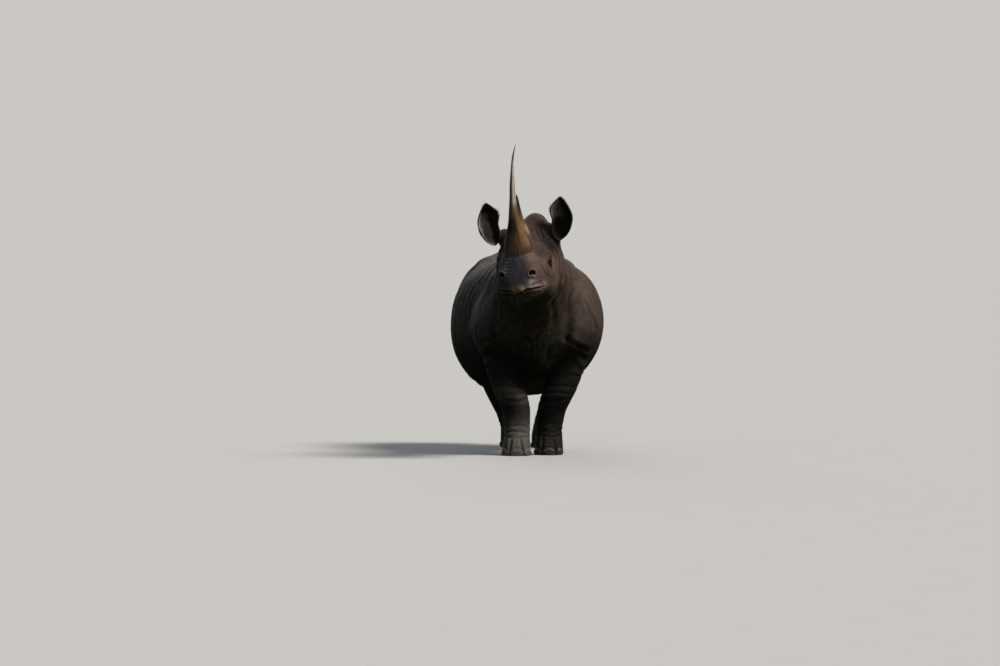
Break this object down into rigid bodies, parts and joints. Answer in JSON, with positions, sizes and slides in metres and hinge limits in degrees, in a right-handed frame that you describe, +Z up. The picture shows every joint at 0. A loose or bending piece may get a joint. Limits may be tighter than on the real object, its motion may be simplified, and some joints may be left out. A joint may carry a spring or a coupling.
{
  "type": "black rhinoceros model",
  "caption": "Life-size still model of a standing hook-lipped rhinoceros with a raised head, a long thin front horn and a round belly.",
  "frame": {"origin": "middle of the bounding box, on the floor under the soles", "axes": "the animal faces -Y, its left side is +X, up is +Z"},
  "size_m": [1.074, 2.8408, 2.1779],
  "materials": {
    "hide": "dry, creased, dusty",
    "foot_hide": "dry, pale with dust",
    "horn": "fibrous keratin, worn smooth",
    "nail": "dull keratin",
    "eye": "wet gloss",
    "bristle": "coarse hair"
  },
  "bodies": {
    "root": {"head": "hide", "lower_jaw": "hide", "neck": "hide", "chest": "hide", "barrel": "hide", "hindquarters": "hide", "tail": "hide", "ear_left": "hide", "ear_right": "hide", "foreleg_left_upper": "hide", "foreleg_left_lower": "hide", "foreleg_right_upper": "hide", "foreleg_right_lower": "hide", "hindleg_left_upper": "hide", "hindleg_left_lower": "hide", "hindleg_right_upper": "hide", "hindleg_right_lower": "hide", "forefoot_left": "foot_hide", "forefoot_right": "foot_hide", "hindfoot_left": "foot_hide", "hindfoot_right": "foot_hide", "nail_fore_left_inner": "nail", "nail_fore_left_middle": "nail", "nail_fore_left_outer": "nail", "nail_fore_right_inner": "nail", "nail_fore_right_middle": "nail", "nail_fore_right_outer": "nail", "nail_hind_left_inner": "nail", "nail_hind_left_middle": "nail", "nail_hind_left_outer": "nail", "nail_hind_right_inner": "nail", "nail_hind_right_middle": "nail", "nail_hind_right_outer": "nail", "eye_left": "eye", "eye_right": "eye", "horn_front": "horn", "horn_rear": "horn", "tail_tuft": "bristle"}
  },
  "joints": []
}
